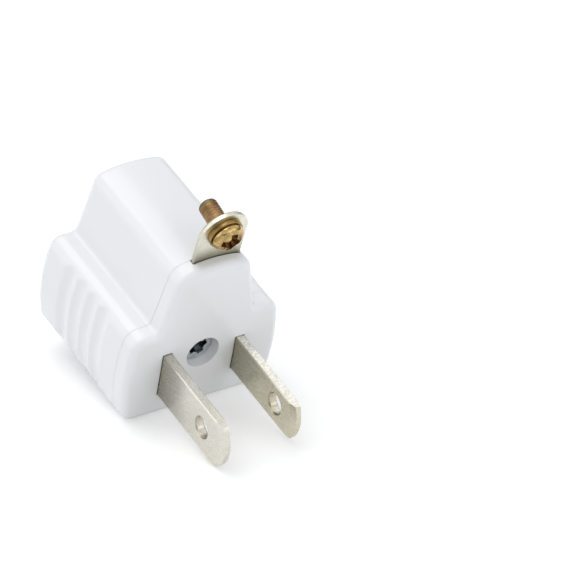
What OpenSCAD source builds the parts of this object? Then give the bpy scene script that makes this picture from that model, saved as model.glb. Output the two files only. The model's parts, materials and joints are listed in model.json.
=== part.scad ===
// Grounding plug adapter: a three-hole socket on one end, two flat blades and a
// ground lug with its screw on the other. The pieces are laid out in the body's own
// directions (x across, y from the socket face to the blade face, z up from the flat
// bottom), and stand_at_rest() then tips them onto the table.

/* [Body] */
// Depth from the socket face to the blade face
body_depth = 26.3; // [24:0.1:32]
// Width across the widest part of the bulging sides
body_width = 26.5; // [24.5:0.1:32]
// Radius of the sides' outward bulge
side_bulge_r = 31.7; // [26:0.1:60]
// Height of the shoulders above the flat bottom
shoulder_h = 16.2; // [15:0.1:17.2]
// Plastic above the ground hole's flat top, up to the ridge's crowned top
ridge_roof = 4.75; // [4:0.05:8]
// Half width of the ridge where its walls meet the shoulders
ridge_foot = 8.3; // [7.4:0.05:9]
// Lean of the ridge's walls from upright, degrees
ridge_wall_lean = 12.4; // [4:0.1:14]
// Radius of the ridge's crowned top
crown_r = 20; // [14:0.5:60]
// Radius of the bottom corners
bottom_corner_r = 2.1; // [1.9:0.1:3]
// Radius of the shoulder corners
shoulder_corner_r = 2.4; // [1.9:0.1:3.5]
// Radius of the ridge's top corners
ridge_corner_r = 2.5; // [1.9:0.1:3]
// Radius of the hollow corner between ridge and shoulder
ridge_foot_r = 1.4; // [0.4:0.1:2.5]
// Rounding of the edge around the socket face
end_round = 1.5; // [0.6:0.1:1.8]
// Rounding of the edge around the blade face
cover_round = 1.1; // [0.6:0.1:1.8]
// Thickness of the wall behind the socket face
face_wall = 1.9; // [1.4:0.1:3]

/* [Cover] */
// Thickness of the blade cover
cover_t = 3.0; // [2.6:0.1:5]
// Depth of the bevel on each side of the seam
seam_bevel = 0.16; // [0.05:0.01:0.4]

/* [Side flutes] */
// Number of flutes on each side
flute_count = 4; // [1:1:5]
// Spacing of the flutes
flute_pitch = 3.2; // [2:0.1:3.6]
// Depth of the flutes
flute_depth = 0.45; // [0.2:0.05:0.8]
// Middle of the row of flutes, from the socket face
flute_middle = 12.3; // [11:0.1:13]

/* [Tongue] */
// Reach of the tongue below the flat bottom
tongue_drop = 4.95; // [4.2:0.05:6]
// Radius of the tongue's rounded outline
tongue_r = 10.1; // [9:0.1:12]
// Thickness of the tongue
tongue_t = 2.3; // [1.6:0.1:3]
// Step from the socket face back to the tongue
tongue_setback = 0.45; // [0.1:0.05:1]
// Rounding of the tongue's rim
tongue_rim = 0.6; // [0.2:0.1:0.75]

/* [Blades] */
// Distance between the middles of the two blades
blade_spacing = 12.7; // [12.5:0.1:13]
// Height of the blades' centre line above the flat bottom
blade_z = 8.0; // [7.7:0.05:8.4]
// Length of the wide blade beyond the cover
neutral_blade_l = 18.2; // [16:0.1:18.3]
// Length of the narrow blade beyond the cover
line_blade_l = 17.4; // [16:0.1:18.3]
// Thickness of the blades
blade_t = 1.52; // [1.4:0.01:1.6]
// Height of the wide blade
neutral_blade_h = 7.94; // [7.7:0.01:8.2]
// Height of the narrow blade
line_blade_h = 6.35; // [6.1:0.01:6.6]
// Radius of the wide blade's nose
neutral_nose_r = 5.7; // [4:0.1:6]
// Radius of the narrow blade's nose
line_nose_r = 6.0; // [3.5:0.1:9]
// Distance from the cover to the hole in each blade
blade_hole_out = 11.9; // [11:0.1:12.5]
// Diameter of the hole in each blade
blade_hole_d = 3.2; // [2.8:0.1:4]
// Width of the coined bevel around each blade's tip
tip_bevel = 1.1; // [0.5:0.1:2]
// Thickness left at the rim of each blade's tip
tip_t = 0.8; // [0.5:0.05:1.2]
// Bevel along the blades' long edges
blade_edge_bevel = 0.16; // [0.05:0.01:0.3]

/* [Socket holes] */
// Width of the two blade slots
slot_w = 2.43; // [2.2:0.01:2.8]
// Height of the wide slot
neutral_slot_h = 8.55; // [8.3:0.05:9]
// Height of the narrow slot
line_slot_h = 7.05; // [6.8:0.05:7.4]
// Height of the ground hole's round part above the blades' centre line
ground_rise = 12.1; // [11.7:0.05:12.3]
// Width of the ground hole
ground_hole_w = 6.0; // [5.6:0.05:6.2]
// Distance from the round part's middle up to the hole's flat top
ground_hole_top = 2.5; // [2.3:0.05:2.6]

/* [Contacts] */
// Thickness of the contact strip
contact_t = 0.45; // [0.3:0.05:0.6]
// Gap between the leaves where they grip a blade
grip_gap = 1.3; // [1:0.05:1.45]
// Gap between the ground contact's leaves where they grip
ground_grip_gap = 4.4; // [4:0.05:4.7]
// Diameter of the rivets
rivet_d = 1.8; // [1.4:0.1:2.2]
// Diameter of the rivets' heads
rivet_head_d = 3.0; // [2.4:0.1:3.4]
// Height of the rivets' heads
rivet_head_h = 0.5; // [0.3:0.05:0.6]

/* [Cover screw] */
// Diameter of the recess for the cover screw
screw_recess_d = 5.5; // [5.2:0.1:6]
// Depth from the blade face to the seat of the cover screw's head
screw_seat_depth = 4.8; // [4.2:0.1:5.5]
// Height of the cover screw above the blades' centre line
screw_rise = 2.1; // [1.5:0.1:2.4]
// Diameter of the cover screw's thread
cover_screw_d = 2.5; // [2:0.1:2.9]
// Length of the cover screw under its head
cover_screw_l = 8.5; // [6:0.5:12]
// Diameter of the cover screw's head
cover_screw_head_d = 5.1; // [4.4:0.1:5.2]

/* [Ground lug] */
// Thickness of the lug's strip
lug_t = 0.9; // [0.6:0.05:1]
// Width of the lug
lug_w = 8.1; // [7:0.1:8.6]
// Height of the lug's hole above the ridge, along the lug
lug_hole_up = 5.5; // [4.5:0.1:8]
// Lean of the lug towards the blades, degrees
lug_lean = 10.5; // [0:0.5:16]
// Sideways place of the lug
lug_offset = -1.0; // [-1.2:0.1:1.2]

/* [Ground screw] */
// Diameter of the ground screw's thread
ground_screw_d = 3.0; // [2.6:0.1:3.5]
// Length of thread that stands out beyond the lug
thread_out = 4.9; // [3:0.1:8]
// Diameter of the ground screw's head
ground_head_d = 5.4; // [5:0.1:6.4]
// Height of the ground screw's head
ground_head_h = 1.9; // [1.4:0.1:2.6]
// Diameter of the washer
washer_d = 5.8; // [5.4:0.1:6.8]
// Thickness of the washer
washer_t = 0.55; // [0.4:0.05:0.8]

/* [Hidden] */

// Clearances: between a piece and the pocket it drops into, and around a shaft
fit = 0.06;
shaft_fit = 0.03;
// Overshoot of a cut past the face it opens through
past = 0.5;
// Arc steps per rounded corner, along the bulging side and around an end's edge
corner_steps = 6;
side_steps = 10;
end_steps = 6;

seam_y = body_depth - cover_t;
ground_z = blade_z + ground_rise;
ridge_h = ground_z + ground_hole_top + ridge_roof;
screw_z = blade_z + screw_rise;
screw_seat_y = body_depth - screw_seat_depth;
side_x = blade_spacing / 2;

// Rest pose: the table touches the rounded back rim of the tongue and the rounded
// bottom edge of the cover, so it is the common tangent of those two arcs
rim_y = tongue_setback + tongue_t - tongue_rim;
rim_z = tongue_rim - tongue_drop;
edge_y = body_depth - cover_round;
edge_z = cover_round;
rest_tilt = atan2(edge_z - rim_z, edge_y - rim_y)
    + asin((tongue_rim - cover_round) / norm([edge_z - rim_z, edge_y - rim_y]));
rest_lift = cover_round + edge_y * sin(rest_tilt) - edge_z * cos(rest_tilt);
// The origin lies midway between the wide blade's tip and the tongue's front rim
tip_reach = neutral_nose_r + blade_z * sin(rest_tilt)
    + (body_depth + neutral_blade_l - neutral_nose_r) * cos(rest_tilt);
rim_reach = (tongue_setback + tongue_rim) * cos(rest_tilt) + rim_z * sin(rest_tilt) - tongue_rim;
rest_middle = (tip_reach + rim_reach) / 2;

module stand_at_rest() {
    translate([0, -rest_middle, rest_lift])
        rotate([-rest_tilt, 0, 0])
            children();
}

// Section of the body, as points [x, z, direction of the outward normal]
side_z = shoulder_h / 2;
side_cx = body_width / 2 - side_bulge_r;
bottom_cx = side_cx + sqrt(pow(side_bulge_r - bottom_corner_r, 2) - pow(bottom_corner_r - side_z, 2));
shoulder_cz = shoulder_h - shoulder_corner_r;
shoulder_cx = side_cx + sqrt(pow(side_bulge_r - shoulder_corner_r, 2) - pow(shoulder_cz - side_z, 2));
low_angle = atan2(bottom_corner_r - side_z, bottom_cx - side_cx);
high_angle = atan2(shoulder_cz - side_z, shoulder_cx - side_cx);
wall_reach = ridge_foot * cos(ridge_wall_lean) + shoulder_h * sin(ridge_wall_lean);
foot_cz = shoulder_h + ridge_foot_r;
foot_cx = (wall_reach + ridge_foot_r - foot_cz * sin(ridge_wall_lean)) / cos(ridge_wall_lean);
crown_cz = ridge_h - crown_r;
crown_swing = asin(
    (wall_reach - ridge_corner_r - crown_cz * sin(ridge_wall_lean)) / (crown_r - ridge_corner_r)
) - ridge_wall_lean;
corner_cx = (crown_r - ridge_corner_r) * sin(crown_swing);
corner_cz = crown_cz + (crown_r - ridge_corner_r) * cos(crown_swing);

// Points first..last of an arc that is divided into steps; a negative radius makes a
// hollow corner
function arc_points(cx, cz, r, a0, a1, steps, first, last) = [
    for (i = [first : last])
        let (a = a0 + (a1 - a0) * i / steps)
        [cx + r * cos(a), cz + r * sin(a), a]
];
half_section = concat(
    arc_points(bottom_cx, bottom_corner_r, bottom_corner_r, -90, low_angle, corner_steps, 0, corner_steps),
    arc_points(side_cx, side_z, side_bulge_r, low_angle, high_angle, side_steps, 1, side_steps - 1),
    arc_points(shoulder_cx, shoulder_cz, shoulder_corner_r, high_angle, 90, corner_steps, 0, corner_steps),
    arc_points(foot_cx, foot_cz, -ridge_foot_r, 90, ridge_wall_lean, corner_steps, 0, corner_steps),
    arc_points(corner_cx, corner_cz, ridge_corner_r, ridge_wall_lean, 90 - crown_swing, corner_steps,
        0, corner_steps),
    arc_points(0, crown_cz, crown_r, 90 - crown_swing, 90, corner_steps, 1, corner_steps)
);
section = concat(
    half_section,
    [for (i = [len(half_section) - 2 : -1 : 0])
        [-half_section[i][0], half_section[i][1], 180 - half_section[i][2]]]
);

// One ring of the body: the section drawn in by inset, at depth y
function ring(inset, y) = [
    for (p = section) [p[0] - inset * cos(p[2]), y, p[1] - inset * sin(p[2])]
];

// Skin over a list of [inset, y] stations, from the socket end to the blade end
module loft(stations) {
    count = len(section);
    bands = len(stations) - 1;
    points = [for (s = stations) each ring(s[0], s[1])];
    near_cap = [[for (i = [count - 1 : -1 : 0]) i]];
    far_cap = [[for (i = [0 : count - 1]) bands * count + i]];
    skin = [
        for (k = [0 : bands - 1], i = [0 : count - 1])
            let (j = (i + 1) % count, a = k * count, b = (k + 1) * count)
            each [[a + i, a + j, b + j], [a + i, b + j, b + i]]
    ];
    polyhedron(points = points, faces = concat(near_cap, skin, far_cap), convexity = 6);
}

// Stations of a quarter round edge of radius r, as [inset, distance from the end face]
function quarter_round(r) = [
    for (i = [0 : end_steps])
        let (a = 90 * i / end_steps)
        [r * (1 - sin(a)), r * (1 - cos(a))]
];

// Extrudes a flat shape drawn in x and z along y, from y0 to y1
module along_y(y0, y1) {
    translate([0, y1, 0])
        rotate([90, 0, 0])
            linear_extrude(y1 - y0)
                children();
}

// Extrudes a flat shape drawn in x and y along z, from z0 to z1
module along_z(z0, z1) {
    translate([0, 0, z0])
        linear_extrude(z1 - z0)
            children();
}

// Block between two opposite corners
module block(low, high) {
    translate(low)
        cube(high - low);
}

// Round bar along y between two depths
module bar_y(x, z, d, y0, y1) {
    translate([x, y1, z])
        rotate([90, 0, 0])
            cylinder(d = d, h = y1 - y0, $fn = 64);
}

// Round bar along x between two sides
module bar_x(y, z, d, x0, x1) {
    translate([x0, y, z])
        rotate([0, 90, 0])
            cylinder(d = d, h = x1 - x0, $fn = 64);
}

// Contact chambers behind the slots
chamber_half_w = 1.95;
chamber_half_h = 5.05;
ground_room_half_w = 3.7;
ground_room_below = 3.9;
ground_room_above = 3.7;

// Contact strips: from just inside the face wall, through the grip, then spreading to
// the blade's thickness and back to the rivet, just short of the cover
mouth_room = 0.25;
mouth_gap = 2.7;
mouth_taper = 2.0;
grip_l = 3.0;
leaf_spread = 2.5;
leaf_end_room = 0.55;
rivet_margin = 0.3;
free_leaf_back = 2.2;
leaf_above = 4.4;
leaf_below = 4.3;
mouth_y = face_wall + mouth_room;
grip_start = mouth_y + mouth_taper;
grip_end = grip_start + grip_l;
leaf_end_y = seam_y - leaf_end_room;
rivet_y = leaf_end_y - rivet_head_d / 2 - rivet_margin;
free_leaf_y = rivet_y - free_leaf_back;
// Notch under the leaves' mouths: its length, the radius of the corner above it, and
// how far below the centre line each contact's leaves reach there
notch_l = 1.6;
notch_corner_r = 1.0;
neutral_mouth_low = 2.6;
line_mouth_low = 0.7;
ground_mouth_low = 1.4;

// Blade tangs inside the housing
tang_room = 0.45;
tang_y = free_leaf_y + tang_room;
tang_half_h = 2.7;
ear_l = 1.1;
ear_y = seam_y - ear_l;
ear_half_h = 4.7;
// Bevel round the hole in each blade
hole_bevel = 0.25;

// Boss of the cover round the screw recess
boss_wall = 1.15;
boss_d = screw_recess_d + 2 * boss_wall;
boss_floor = 1.1;
boss_end_y = screw_seat_y - boss_floor;

// Screw heads: shares of the head's diameter and height that the cross recess and the
// dome take up, and shares of the recess's reach for its arms and its core
cover_head_h = 1.75;
recess_share = 0.68;
recess_depth_share = 0.62;
dome_share = 0.6;
arm_share = 0.28;
core_share = 0.62;
screw_point_d = 0.6;
thread_end_bevel = 0.4;

// Ground strip and lug
flange_t = 0.6;
strip_below = 3.2;
bend_rise = 0.05;
bend_y = seam_y + lug_t / 2;
bend_z = ridge_h + bend_rise;
lug_hole_up_strip = lug_hole_up - bend_rise;
ground_flare = 0.8;
ground_back_step = 0.3;
ground_taper = 2.6;
ground_grip_l = 3.4;
ground_grip_up = 2.3;
ground_grip_down = 3.1;

module flutes() {
    flute_r = pow(flute_pitch, 2) / (8 * flute_depth) + flute_depth / 2;
    first_y = flute_middle - flute_pitch * (flute_count - 1) / 2;
    for (i = [0 : flute_count - 1])
        translate([side_cx, first_y + i * flute_pitch, side_z])
            rotate([90, 0, 0])
                rotate_extrude($fn = 160)
                    translate([side_bulge_r + flute_r - flute_depth, 0])
                        circle(r = flute_r, $fn = 64);
}

module tongue() {
    intersection() {
        translate([0, tongue_setback, tongue_r - tongue_drop])
            rotate([-90, 0, 0])
                rotate_extrude($fn = 120)
                    union() {
                        square([tongue_r - tongue_rim, tongue_t]);
                        translate([0, tongue_rim])
                            square([tongue_r, tongue_t - 2 * tongue_rim]);
                        for (h = [tongue_rim, tongue_t - tongue_rim])
                            translate([tongue_r - tongue_rim, h])
                                circle(r = tongue_rim, $fn = 48);
                    }
        block([-tongue_r, 0, -tongue_drop - past], [tongue_r, seam_y, bottom_corner_r]);
    }
}

module blade_slot(x, h) {
    block([x - slot_w / 2, -past, blade_z - h / 2], [x + slot_w / 2, face_wall + past, blade_z + h / 2]);
}

module contact_chamber(x) {
    block([x - chamber_half_w, face_wall, blade_z - chamber_half_h],
        [x + chamber_half_w, seam_y + past, blade_z + chamber_half_h]);
}

module ground_hole() {
    along_y(-past, face_wall + past)
        translate([0, ground_z]) {
            circle(d = ground_hole_w, $fn = 96);
            translate([-ground_hole_w / 2, 0])
                square([ground_hole_w, ground_hole_top]);
        }
}

module socket_shell() {
    stations = concat(
        quarter_round(end_round),
        [[0, seam_y - seam_bevel], [seam_bevel, seam_y]]
    );
    stand_at_rest()
        color("#f2f3f7")
            difference() {
                union() {
                    loft(stations);
                    tongue();
                }
                flutes();
                mirror([1, 0, 0])
                    flutes();
                blade_slot(side_x, neutral_slot_h);
                blade_slot(-side_x, line_slot_h);
                contact_chamber(side_x);
                contact_chamber(-side_x);
                ground_hole();
                block([-ground_room_half_w, face_wall, ground_z - ground_room_below],
                    [ground_room_half_w, seam_y + past, ground_z + ground_room_above]);
                bar_y(0, screw_z, boss_d + 2 * fit, boss_end_y - fit, seam_y + past);
                bar_y(0, screw_z, cover_screw_d + 2 * shaft_fit,
                    screw_seat_y - cover_screw_l - past, boss_end_y);
            }
}

module blade_cover() {
    edge = quarter_round(cover_round);
    stations = concat(
        [[seam_bevel, seam_y], [0, seam_y + seam_bevel]],
        [for (i = [end_steps : -1 : 0]) [edge[i][0], body_depth - edge[i][1]]]
    );
    lug_half = lug_w / 2 + fit;
    stand_at_rest()
        color("#f4f5f8")
            difference() {
                union() {
                    loft(stations);
                    bar_y(0, screw_z, boss_d, boss_end_y, seam_y + past);
                }
                bar_y(0, screw_z, screw_recess_d, screw_seat_y, body_depth + past);
                bar_y(0, screw_z, cover_screw_d + 4 * shaft_fit, boss_end_y - past, screw_seat_y + past);
                blade_opening(side_x, neutral_blade_h);
                blade_opening(-side_x, line_blade_h);
                block([lug_offset - lug_half, seam_y - past, ground_z - strip_below - fit],
                    [lug_offset + lug_half, seam_y + lug_t + fit, ridge_h + past]);
                bar_y(0, ground_z, rivet_head_d + 2 * fit, seam_y, seam_y + lug_t + rivet_head_h + fit);
            }
}

module blade_opening(x, h) {
    block([x - blade_t / 2 - fit, seam_y - past, blade_z - h / 2 - fit],
        [x + blade_t / 2 + fit, body_depth + past, blade_z + h / 2 + fit]);
}

// Cross recess of a screw head, sunk below the dome's top at z = 0
module cross_recess(reach, depth) {
    arm = reach * arm_share;
    for (turn = [0, 90])
        rotate([0, 0, turn])
            translate([-reach / 2, -arm / 2, -depth])
                cube([reach, arm, depth + past]);
    translate([0, 0, -depth])
        cylinder(d1 = arm, d2 = reach * core_share, h = depth + shaft_fit, $fn = 40);
}

// Domed screw head standing on z = 0
module pan_head(d, h) {
    dome = h * dome_share;
    dome_r = (pow(d / 2, 2) + pow(dome, 2)) / (2 * dome);
    difference() {
        intersection() {
            cylinder(d = d, h = h, $fn = 72);
            translate([0, 0, h - dome_r])
                sphere(r = dome_r, $fn = 96);
        }
        translate([0, 0, h])
            cross_recess(d * recess_share, h * recess_depth_share);
    }
}

module cover_screw() {
    point = cover_screw_d / 2;
    stand_at_rest()
        color("#8f9aa6")
            translate([0, screw_seat_y, screw_z])
                rotate([-90, 0, 0]) {
                    rotate([0, 0, 25])
                        pan_head(cover_screw_head_d, cover_head_h);
                    translate([0, 0, point - cover_screw_l])
                        cylinder(d = cover_screw_d, h = cover_screw_l - point, $fn = 48);
                    translate([0, 0, -cover_screw_l])
                        cylinder(d1 = screw_point_d, d2 = cover_screw_d, h = point, $fn = 48);
                }
}

// Blade on the +x side: bevelled bar with a coined round nose, a hole, and a tang
// with ears that the cover holds
module blade(h, reach, nose_r) {
    tip_y = body_depth + reach;
    nose_y = tip_y - nose_r;
    hole_y = body_depth + blade_hole_out;
    half_t = blade_t / 2;
    b = blade_edge_bevel;
    difference() {
        union() {
            intersection() {
                along_y(seam_y - fit, tip_y)
                    translate([side_x, blade_z])
                        polygon([
                            [half_t, h / 2 - b], [half_t - b, h / 2],
                            [b - half_t, h / 2], [-half_t, h / 2 - b],
                            [-half_t, b - h / 2], [b - half_t, -h / 2],
                            [half_t - b, -h / 2], [half_t, b - h / 2]
                        ]);
                union() {
                    block([0, 0, 0], [body_width, nose_y, ridge_h]);
                    translate([side_x, nose_y, blade_z])
                        rotate([0, 90, 0])
                            rotate_extrude($fn = 160)
                                polygon([
                                    [0, -half_t], [nose_r - tip_bevel, -half_t],
                                    [nose_r, -tip_t / 2], [nose_r, tip_t / 2],
                                    [nose_r - tip_bevel, half_t], [0, half_t]
                                ]);
                }
            }
            block([side_x - half_t, ear_y, blade_z - ear_half_h],
                [side_x + half_t, seam_y - fit, blade_z + ear_half_h]);
            block([side_x - half_t, tang_y, blade_z - tang_half_h],
                [side_x + half_t, ear_y, blade_z + tang_half_h]);
        }
        bar_x(hole_y, blade_z, blade_hole_d, side_x - half_t - past, side_x + half_t + past);
        for (side = [-1, 1])
            translate([side_x + side * (half_t - hole_bevel), hole_y, blade_z])
                rotate([0, side * 90, 0])
                    cylinder(d1 = blade_hole_d, d2 = blade_hole_d + 2 * (hole_bevel + shaft_fit),
                        h = hole_bevel + shaft_fit, $fn = 64);
        bar_x(rivet_y, blade_z, rivet_d + 2 * shaft_fit, side_x - half_t - past, side_x + half_t + past);
    }
}

module neutral_blade() {
    stand_at_rest()
        color("#c4bfb3")
            blade(neutral_blade_h, neutral_blade_l, neutral_nose_r);
}

module line_blade() {
    stand_at_rest()
        color("#bdb8ac")
            mirror([1, 0, 0])
                blade(line_blade_h, line_blade_l, line_nose_r);
}

// Leaf of a contact, as seen from above: half gaps along y, on the +x side of x = 0
module leaf_shape(half_mouth, half_grip, half_back, grip_from, grip_to, end_y) {
    path = [
        [half_mouth, mouth_y], [half_grip, grip_from], [half_grip, grip_to],
        [half_back, grip_to + leaf_spread], [half_back, end_y]
    ];
    polygon(concat(
        path,
        [for (i = [len(path) - 1 : -1 : 0]) path[i] + [contact_t, 0]]
    ));
}

// Cut under the leaves' mouths, up to front_z, that leaves a rounded corner above it
module mouth_notch(half_w, low_z, front_z) {
    block([-half_w, mouth_y - past, low_z - past], [half_w, mouth_y + notch_l, front_z]);
    difference() {
        block([-half_w, mouth_y - past, front_z - past],
            [half_w, mouth_y + notch_corner_r, front_z + notch_corner_r]);
        bar_x(mouth_y + notch_corner_r, front_z + notch_corner_r, 2 * notch_corner_r,
            -half_w - past, half_w + past);
    }
}

// Contact on the +x side: two leaves folded up from a strip below the blade
module blade_contact(mouth_low) {
    web_top = blade_z - leaf_below;
    half_grip = grip_gap / 2;
    half_back = blade_t / 2;
    difference() {
        translate([side_x, 0, 0]) {
            along_z(web_top, blade_z + leaf_above)
                leaf_shape(mouth_gap / 2, half_grip, half_back, grip_start, grip_end, leaf_end_y);
            mirror([1, 0, 0])
                along_z(web_top, blade_z + leaf_above)
                    leaf_shape(mouth_gap / 2, half_grip, half_back, grip_start, grip_end, free_leaf_y);
            block([-half_back - contact_t, grip_end + leaf_spread, web_top - contact_t],
                [half_back + contact_t, free_leaf_y, web_top]);
            block([-half_grip - contact_t, grip_start, web_top - contact_t],
                [half_grip + contact_t, grip_end + leaf_spread, web_top]);
        }
        bar_x(rivet_y, blade_z, rivet_d + 2 * shaft_fit, side_x, side_x + chamber_half_w);
        translate([side_x, 0, 0])
            mouth_notch(chamber_half_w, web_top, blade_z - mouth_low);
    }
}

module neutral_contact() {
    stand_at_rest()
        color("#a9875a")
            blade_contact(neutral_mouth_low);
}

// The same strip turned upside down, with its web above the blade
module line_contact() {
    stand_at_rest()
        color("#9a7a50")
            translate([0, 0, 2 * blade_z])
                rotate([0, 180, 0])
                    blade_contact(line_mouth_low);
}

// Rivet on the +x side, through the tang and the outer leaf
module blade_rivet() {
    inner_x = side_x - blade_t / 2;
    outer_x = side_x + blade_t / 2 + contact_t;
    bar_x(rivet_y, blade_z, rivet_d, inner_x - rivet_head_h / 2, outer_x + rivet_head_h / 2);
    bar_x(rivet_y, blade_z, rivet_head_d, inner_x - rivet_head_h, inner_x);
    bar_x(rivet_y, blade_z, rivet_head_d, outer_x, outer_x + rivet_head_h);
}

module neutral_rivet() {
    stand_at_rest()
        color("#b98a4c")
            blade_rivet();
}

module line_rivet() {
    stand_at_rest()
        color("#b08246")
            mirror([1, 0, 0])
                blade_rivet();
}

// Contact round the ground pin, folded from one strip, with a flange at the back
module ground_contact() {
    half_mouth = ground_grip_gap / 2 + ground_flare;
    half_grip = ground_grip_gap / 2;
    half_back = half_grip + ground_back_step;
    grip_from = mouth_y + ground_taper;
    grip_to = grip_from + ground_grip_l;
    low_z = ground_z - ground_grip_down;
    high_z = ground_z + ground_grip_up;
    stand_at_rest()
        color("#b59a78")
            difference() {
                union() {
                    for (side = [0, 1])
                        mirror([side, 0, 0])
                            along_z(low_z, high_z)
                                leaf_shape(half_mouth, half_grip, half_back, grip_from, grip_to,
                                    seam_y - flange_t);
                    block([-half_back - contact_t, grip_to + leaf_spread, low_z - contact_t],
                        [half_back + contact_t, seam_y, low_z]);
                    block([-half_grip - contact_t, grip_from, low_z - contact_t],
                        [half_grip + contact_t, grip_to + leaf_spread, low_z]);
                    block([-half_back - contact_t, seam_y - flange_t, low_z - contact_t],
                        [half_back + contact_t, seam_y, high_z]);
                }
                bar_y(0, ground_z, rivet_d + 2 * shaft_fit, seam_y - flange_t - past, seam_y + past);
                mouth_notch(ground_room_half_w, low_z, ground_z - ground_mouth_low);
            }
}

module ground_rivet() {
    front_y = seam_y - flange_t;
    back_y = seam_y + lug_t;
    stand_at_rest()
        color("#b98a4c") {
            bar_y(0, ground_z, rivet_d, front_y - rivet_head_h / 2, back_y + rivet_head_h / 2);
            bar_y(0, ground_z, rivet_head_d, front_y - rivet_head_h, front_y);
            bar_y(0, ground_z, rivet_head_d, back_y, back_y + rivet_head_h);
        }
}

// Places what sits on the lug's hole; z then runs out of the lug on the blades' side
module at_lug_hole() {
    translate([lug_offset, bend_y, bend_z])
        rotate([-lug_lean, 0, 0])
            translate([0, 0, lug_hole_up_strip])
                rotate([-90, 0, 0])
                    children();
}

module ground_lug() {
    low_z = ground_z - strip_below;
    stand_at_rest()
        color("#d8d6b8")
            difference() {
                union() {
                    block([lug_offset - lug_w / 2, seam_y, low_z],
                        [lug_offset + lug_w / 2, seam_y + lug_t, bend_z]);
                    bar_x(bend_y, bend_z, lug_t, lug_offset - lug_w / 2, lug_offset + lug_w / 2);
                    at_lug_hole()
                        translate([0, 0, -lug_t / 2])
                            linear_extrude(lug_t) {
                                circle(d = lug_w, $fn = 96);
                                translate([-lug_w / 2, 0])
                                    square([lug_w, lug_hole_up_strip]);
                            }
                }
                at_lug_hole()
                    translate([0, 0, -lug_t])
                        cylinder(d = ground_screw_d + 2 * shaft_fit, h = 2 * lug_t, $fn = 64);
                bar_y(0, ground_z, rivet_d + 2 * shaft_fit, seam_y - past, seam_y + lug_t + past);
            }
}

module ground_washer() {
    stand_at_rest()
        color("#c79a48")
            at_lug_hole()
                translate([0, 0, lug_t / 2])
                    difference() {
                        cylinder(d = washer_d, h = washer_t, $fn = 72);
                        translate([0, 0, -past])
                            cylinder(d = ground_screw_d + 4 * shaft_fit, h = washer_t + 2 * past, $fn = 64);
                    }
}

module ground_screw() {
    seat = lug_t / 2 + washer_t;
    tail = lug_t / 2 + thread_out;
    stand_at_rest()
        color("#b98d3c")
            at_lug_hole() {
                translate([0, 0, seat])
                    rotate([0, 0, 35])
                        pan_head(ground_head_d, ground_head_h);
                translate([0, 0, thread_end_bevel - tail])
                    cylinder(d = ground_screw_d, h = tail - thread_end_bevel + seat, $fn = 64);
                translate([0, 0, -tail])
                    cylinder(d1 = ground_screw_d - 2 * thread_end_bevel, d2 = ground_screw_d,
                        h = thread_end_bevel, $fn = 64);
            }
}

socket_shell();
blade_cover();
cover_screw();
neutral_blade();
line_blade();
neutral_contact();
line_contact();
neutral_rivet();
line_rivet();
ground_contact();
ground_lug();
ground_rivet();
ground_screw();
ground_washer();
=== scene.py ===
# %% [markdown]
# # A grounding plug adapter
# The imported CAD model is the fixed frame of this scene: every solid already sits where
# it belongs, in metres, lying on the table as in the photograph. Blender adds what a
# machine drawing leaves out: the finishes, the screws' threads, the light and the view.

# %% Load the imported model
import json
import math

import bmesh
import bpy
import numpy as np
from mathutils import Matrix, Vector

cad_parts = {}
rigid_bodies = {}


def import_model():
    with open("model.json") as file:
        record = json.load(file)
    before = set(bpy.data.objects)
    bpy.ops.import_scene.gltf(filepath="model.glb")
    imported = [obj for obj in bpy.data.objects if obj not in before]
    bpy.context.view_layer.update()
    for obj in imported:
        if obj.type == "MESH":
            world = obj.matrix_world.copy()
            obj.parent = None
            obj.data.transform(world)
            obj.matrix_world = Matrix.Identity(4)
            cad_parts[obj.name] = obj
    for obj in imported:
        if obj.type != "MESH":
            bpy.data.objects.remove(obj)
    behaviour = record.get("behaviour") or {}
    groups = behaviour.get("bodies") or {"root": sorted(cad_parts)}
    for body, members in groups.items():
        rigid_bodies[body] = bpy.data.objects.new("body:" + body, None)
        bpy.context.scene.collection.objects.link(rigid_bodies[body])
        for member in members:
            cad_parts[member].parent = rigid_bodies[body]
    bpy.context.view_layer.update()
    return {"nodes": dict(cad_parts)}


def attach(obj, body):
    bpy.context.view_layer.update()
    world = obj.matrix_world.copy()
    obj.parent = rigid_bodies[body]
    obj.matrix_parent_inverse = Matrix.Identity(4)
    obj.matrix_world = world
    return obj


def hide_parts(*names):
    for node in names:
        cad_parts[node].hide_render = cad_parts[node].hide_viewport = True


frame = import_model()
nodes = frame["nodes"]

# %% [markdown]
# ## The adapter's own directions
# The adapter lies tipped: its tongue lifts the socket end, so the blades point about
# 12 degrees down. It is easier to measure along its own axes (x across, y from the
# socket face to the blades, z up from its flat bottom) and to turn each point into the
# table's frame afterwards. One matrix does both steps.

# %% From the adapter's axes to the table's
MM = 0.001
REST_TILT = math.radians(12.093251)
REST_MIDDLE = 22.415167 * MM
REST_LIFT = 5.303897 * MM
to_table = (
    Matrix.Translation((0, -REST_MIDDLE, REST_LIFT))
    @ Matrix.Rotation(-REST_TILT, 4, "X")
)
print("socket face middle:", [round(v, 4) for v in to_table @ Vector((0, 0, 0.0077))])

# %% [markdown]
# ## Camera
# The photograph was taken from far away with a long lens, which keeps parallel edges
# nearly parallel. The place, the turn and the lens below were solved from the known
# spacing of the blades and holes, so the render and the photograph can be laid over
# each other.

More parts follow.
